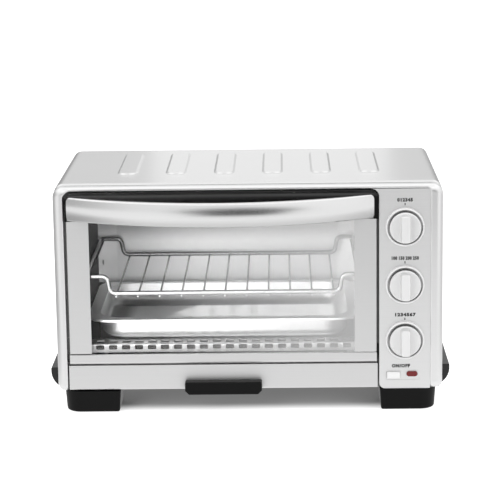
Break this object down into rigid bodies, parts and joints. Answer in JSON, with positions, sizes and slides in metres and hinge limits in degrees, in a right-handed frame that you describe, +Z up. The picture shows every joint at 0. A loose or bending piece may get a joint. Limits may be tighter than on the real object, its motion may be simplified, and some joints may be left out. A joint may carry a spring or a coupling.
{
  "type": "toaster oven",
  "caption": "Countertop toaster oven: steel wrap with ribbed top, drop-down glass door with bowed handle, side column of round knobs, wire rack, baking pan and slide-out crumb tray.",
  "frame": {"origin": "on the table, under the middle of the bounding box", "axes": "+Z up from the table, -Y out of the front through the door, +X to the right towards the controls"},
  "size_m": [0.418, 0.284, 0.2426],
  "materials": {
    "wrap_steel": "brushed",
    "bright_trim": "satin",
    "panel_steel": "brushed",
    "door_steel": "brushed",
    "handle_steel": "satin",
    "black_plastic": "satin",
    "door_glass": "clear",
    "cavity_steel": "satin",
    "plain_steel": "satin",
    "rack_chrome": "polished",
    "pan_steel": "satin",
    "heater_quartz": "frosted",
    "heater_ceramic": "glazed",
    "knob_plastic": "satin",
    "lamp_red": "gloss",
    "inner_plastic": "matte",
    "bushing_rubber": "matte"
  },
  "bodies": {
    "oven": {"outer_shell": "wrap_steel", "front_trim": "bright_trim", "knob_bezels": "bright_trim", "control_panel": "panel_steel", "lower_front_panel": "panel_steel", "front_left_foot": "black_plastic", "front_right_foot": "black_plastic", "rear_left_foot": "black_plastic", "rear_right_foot": "black_plastic", "left_side_bumper": "black_plastic", "right_side_bumper": "black_plastic", "cavity_left_wall": "cavity_steel", "cavity_right_wall": "cavity_steel", "cavity_roof": "cavity_steel", "cavity_back": "cavity_steel", "front_element_guard": "cavity_steel", "rear_element_guard": "cavity_steel", "front_plate": "plain_steel", "rear_panel": "plain_steel", "base_plate": "plain_steel", "heat_shield": "plain_steel", "left_hinge_bracket": "plain_steel", "right_hinge_bracket": "plain_steel", "cover_screws": "plain_steel", "control_nuts": "plain_steel", "thermal_cutout": "plain_steel", "upper_front_heater": "heater_quartz", "upper_rear_heater": "heater_quartz", "lower_front_heater": "heater_quartz", "lower_rear_heater": "heater_quartz", "heater_end_caps": "heater_ceramic", "indicator_lens": "lamp_red", "function_switch": "inner_plastic", "thermostat": "inner_plastic", "shade_timer": "inner_plastic", "start_switch": "inner_plastic", "switch_carrier": "inner_plastic", "indicator_lamp": "inner_plastic", "terminal_block": "inner_plastic", "cord_bushing": "bushing_rubber"},
    "door": {"door_glass": "door_glass", "left_door_stile": "door_steel", "right_door_stile": "door_steel", "bottom_door_rail": "door_steel", "handle_base": "black_plastic", "door_handle": "handle_steel", "door_hinge_pins": "plain_steel", "handle_screws": "plain_steel"},
    "rack": {"wire_rack": "rack_chrome"},
    "pan": {"baking_pan": "pan_steel"},
    "tray": {"crumb_tray": "cavity_steel", "crumb_tray_handle": "black_plastic"},
    "function_dial": {"function_knob": "knob_plastic", "function_shaft": "plain_steel"},
    "temperature_dial": {"temperature_knob": "knob_plastic", "temperature_shaft": "plain_steel"},
    "shade_dial": {"shade_knob": "knob_plastic", "shade_shaft": "plain_steel"},
    "button": {"start_button": "knob_plastic"}
  },
  "joints": [
    {"name": "door_hinge", "type": "hinge", "parent": "oven", "child": "door", "pos_m": [-0.0275, -0.0905, 0.0554], "axis": [1, 0, 0], "range_deg": [0, 90]},
    {"name": "rack_slide", "type": "slide", "parent": "oven", "child": "rack", "axis": [0, -1, 0], "range_m": [0, 0.086]},
    {"name": "pan_slide", "type": "slide", "parent": "oven", "child": "pan", "axis": [0, -1, 0], "range_m": [0, 0.054]},
    {"name": "crumb_tray_slide", "type": "slide", "parent": "oven", "child": "tray", "axis": [0, -1, 0], "range_m": [0, 0.12]},
    {"name": "function_turn", "type": "hinge", "parent": "oven", "child": "function_dial", "pos_m": [0.1613, -0.103, 0.1947], "axis": [0, 1, 0], "range_deg": [0, 240]},
    {"name": "temperature_turn", "type": "hinge", "parent": "oven", "child": "temperature_dial", "pos_m": [0.1613, -0.103, 0.1342], "axis": [0, 1, 0], "range_deg": [0, 270]},
    {"name": "shade_turn", "type": "hinge", "parent": "oven", "child": "shade_dial", "pos_m": [0.1613, -0.103, 0.0753], "axis": [0, 1, 0], "range_deg": [0, 300]},
    {"name": "start_press", "type": "slide", "parent": "oven", "child": "button", "axis": [0, 1, 0], "range_m": [0, 0.0025], "stiffness_N_per_m": 400}
  ],
  "couplings": [
    {"joint": "rack_slide", "follows": "door_hinge", "m_per_rad": 0.054},
    {"joint": "pan_slide", "follows": "door_hinge", "m_per_rad": 0.034}
  ]
}
